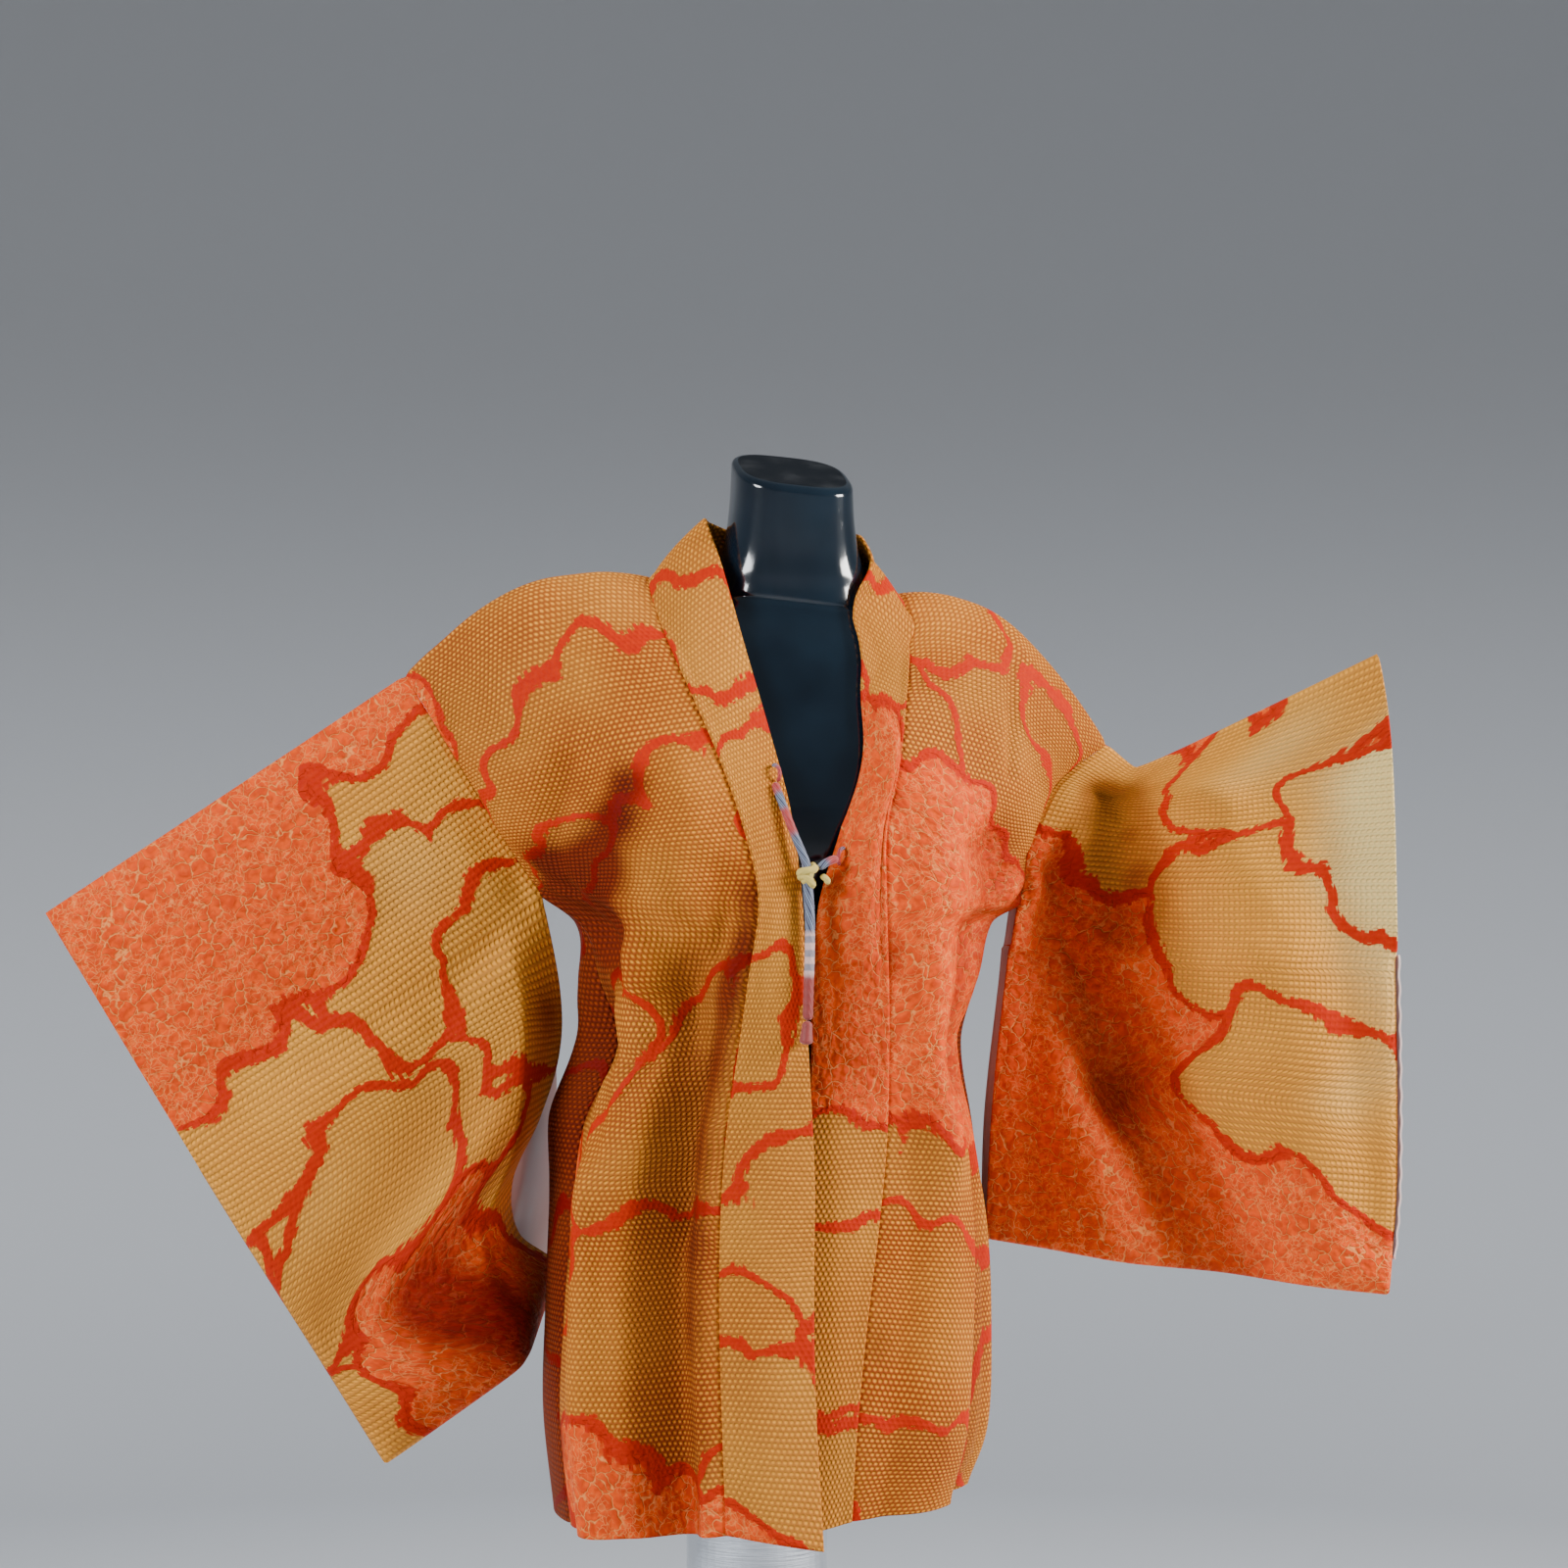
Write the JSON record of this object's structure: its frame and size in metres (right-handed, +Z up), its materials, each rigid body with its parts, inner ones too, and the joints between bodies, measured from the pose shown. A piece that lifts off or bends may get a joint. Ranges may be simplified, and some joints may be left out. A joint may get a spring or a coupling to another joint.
{
  "type": "haori jacket on dress form",
  "caption": "Short silk kimono jacket with deep sleeves and a folded collar band tied at the chest, on a limbless gloss dress form with a pole and a round base.",
  "frame": {"origin": "middle of the underside of the stand's round base, under the pole's axis", "axes": "+Z up along the pole, the jacket's open front faces -Y, the wearer's left is +X"},
  "size_m": [1.0535, 0.38, 1.4629],
  "materials": {
    "silk": "soft tie-dyed silk",
    "silk_collar": "soft tie-dyed silk, folded double",
    "lining": "smooth pale silk",
    "braid": "braided silk cord",
    "braid_knot": "braided silk cord",
    "form_gloss": "high gloss",
    "socket_black": "satin",
    "chrome": "polished",
    "steel": "fine brushed"
  },
  "bodies": {
    "root": {"body_right": "silk", "body_left": "silk", "gusset_right": "silk", "gusset_left": "silk", "sleeve_right": "silk", "sleeve_left": "silk", "collar_right": "silk_collar", "collar_left": "silk_collar", "lining_right": "lining", "lining_left": "lining", "loop_right": "braid", "loop_left": "braid", "tie_right": "braid", "tie_left": "braid", "tie_knot": "braid_knot", "tie_tail": "braid", "tie_tassel": "braid", "tie_short": "braid_knot", "form_torso": "form_gloss", "form_cap": "form_gloss", "stand_socket": "socket_black", "stand_fitting": "chrome", "stand_pole": "chrome", "stand_base": "steel"}
  },
  "joints": []
}
